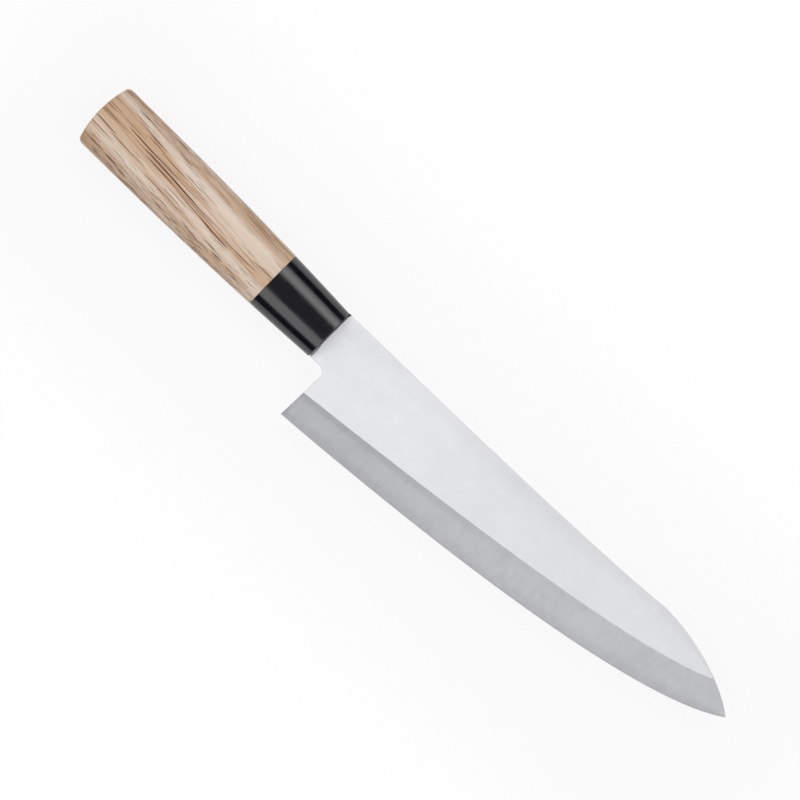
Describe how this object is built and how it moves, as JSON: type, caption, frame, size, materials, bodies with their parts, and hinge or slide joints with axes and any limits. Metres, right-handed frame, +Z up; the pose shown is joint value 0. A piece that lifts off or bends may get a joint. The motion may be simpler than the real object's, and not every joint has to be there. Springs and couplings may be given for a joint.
{
  "type": "gyuto knife",
  "caption": "Japanese chef's knife with a wide-bevelled steel blade on a hidden tang, a black ferrule and an oval wooden handle, for slicing and chopping food.",
  "frame": {"origin": "middle of the knife's outline seen from above, at the height of the handle's lowest point", "axes": "+X from butt to tip along the handle's axis, +Y from edge to spine, +Z up out of the blade's right face"},
  "size_m": [0.3396, 0.0514, 0.0212],
  "materials": {
    "blade": "satin flats and finely ground bevels",
    "ferrule": "polished black resin",
    "handle": "oiled, open grained",
    "tang_bedding": "set adhesive",
    "mouth_seal": "smooth set sealant"
  },
  "bodies": {
    "root": {"blade": "blade", "ferrule": "ferrule", "handle": "handle", "tang_bedding": "tang_bedding", "mouth_seal": "mouth_seal"}
  },
  "joints": []
}
